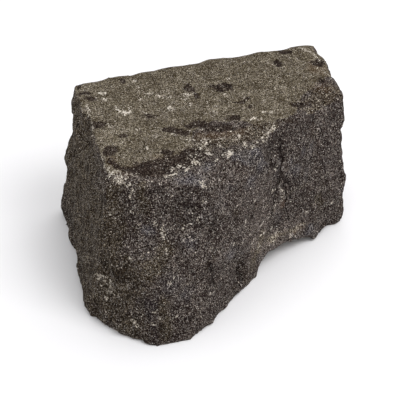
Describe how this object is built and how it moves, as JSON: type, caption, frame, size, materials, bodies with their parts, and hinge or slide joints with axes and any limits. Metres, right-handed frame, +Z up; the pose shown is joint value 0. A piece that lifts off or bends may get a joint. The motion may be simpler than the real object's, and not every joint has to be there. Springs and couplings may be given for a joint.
{
  "type": "basalt column block",
  "caption": "Rough block split from a basalt column: a flat weathered top, a flat base to rest on, broken sides, a rounded lobe at the front left and a low undercut at the front right.",
  "frame": {"origin": "centre of the box's base: the stone rests on the plane z = 0 on its flat underside", "axes": "+Z up; +X along the long back face, from the end with the lobe towards the narrow end; +Y from the front towards the back"},
  "size_m": [0.2814, 0.2232, 0.1511],
  "materials": {
    "basalt": "rough broken faces, weathered matt top"
  },
  "bodies": {
    "root": {"basalt_block": "basalt"}
  },
  "joints": []
}
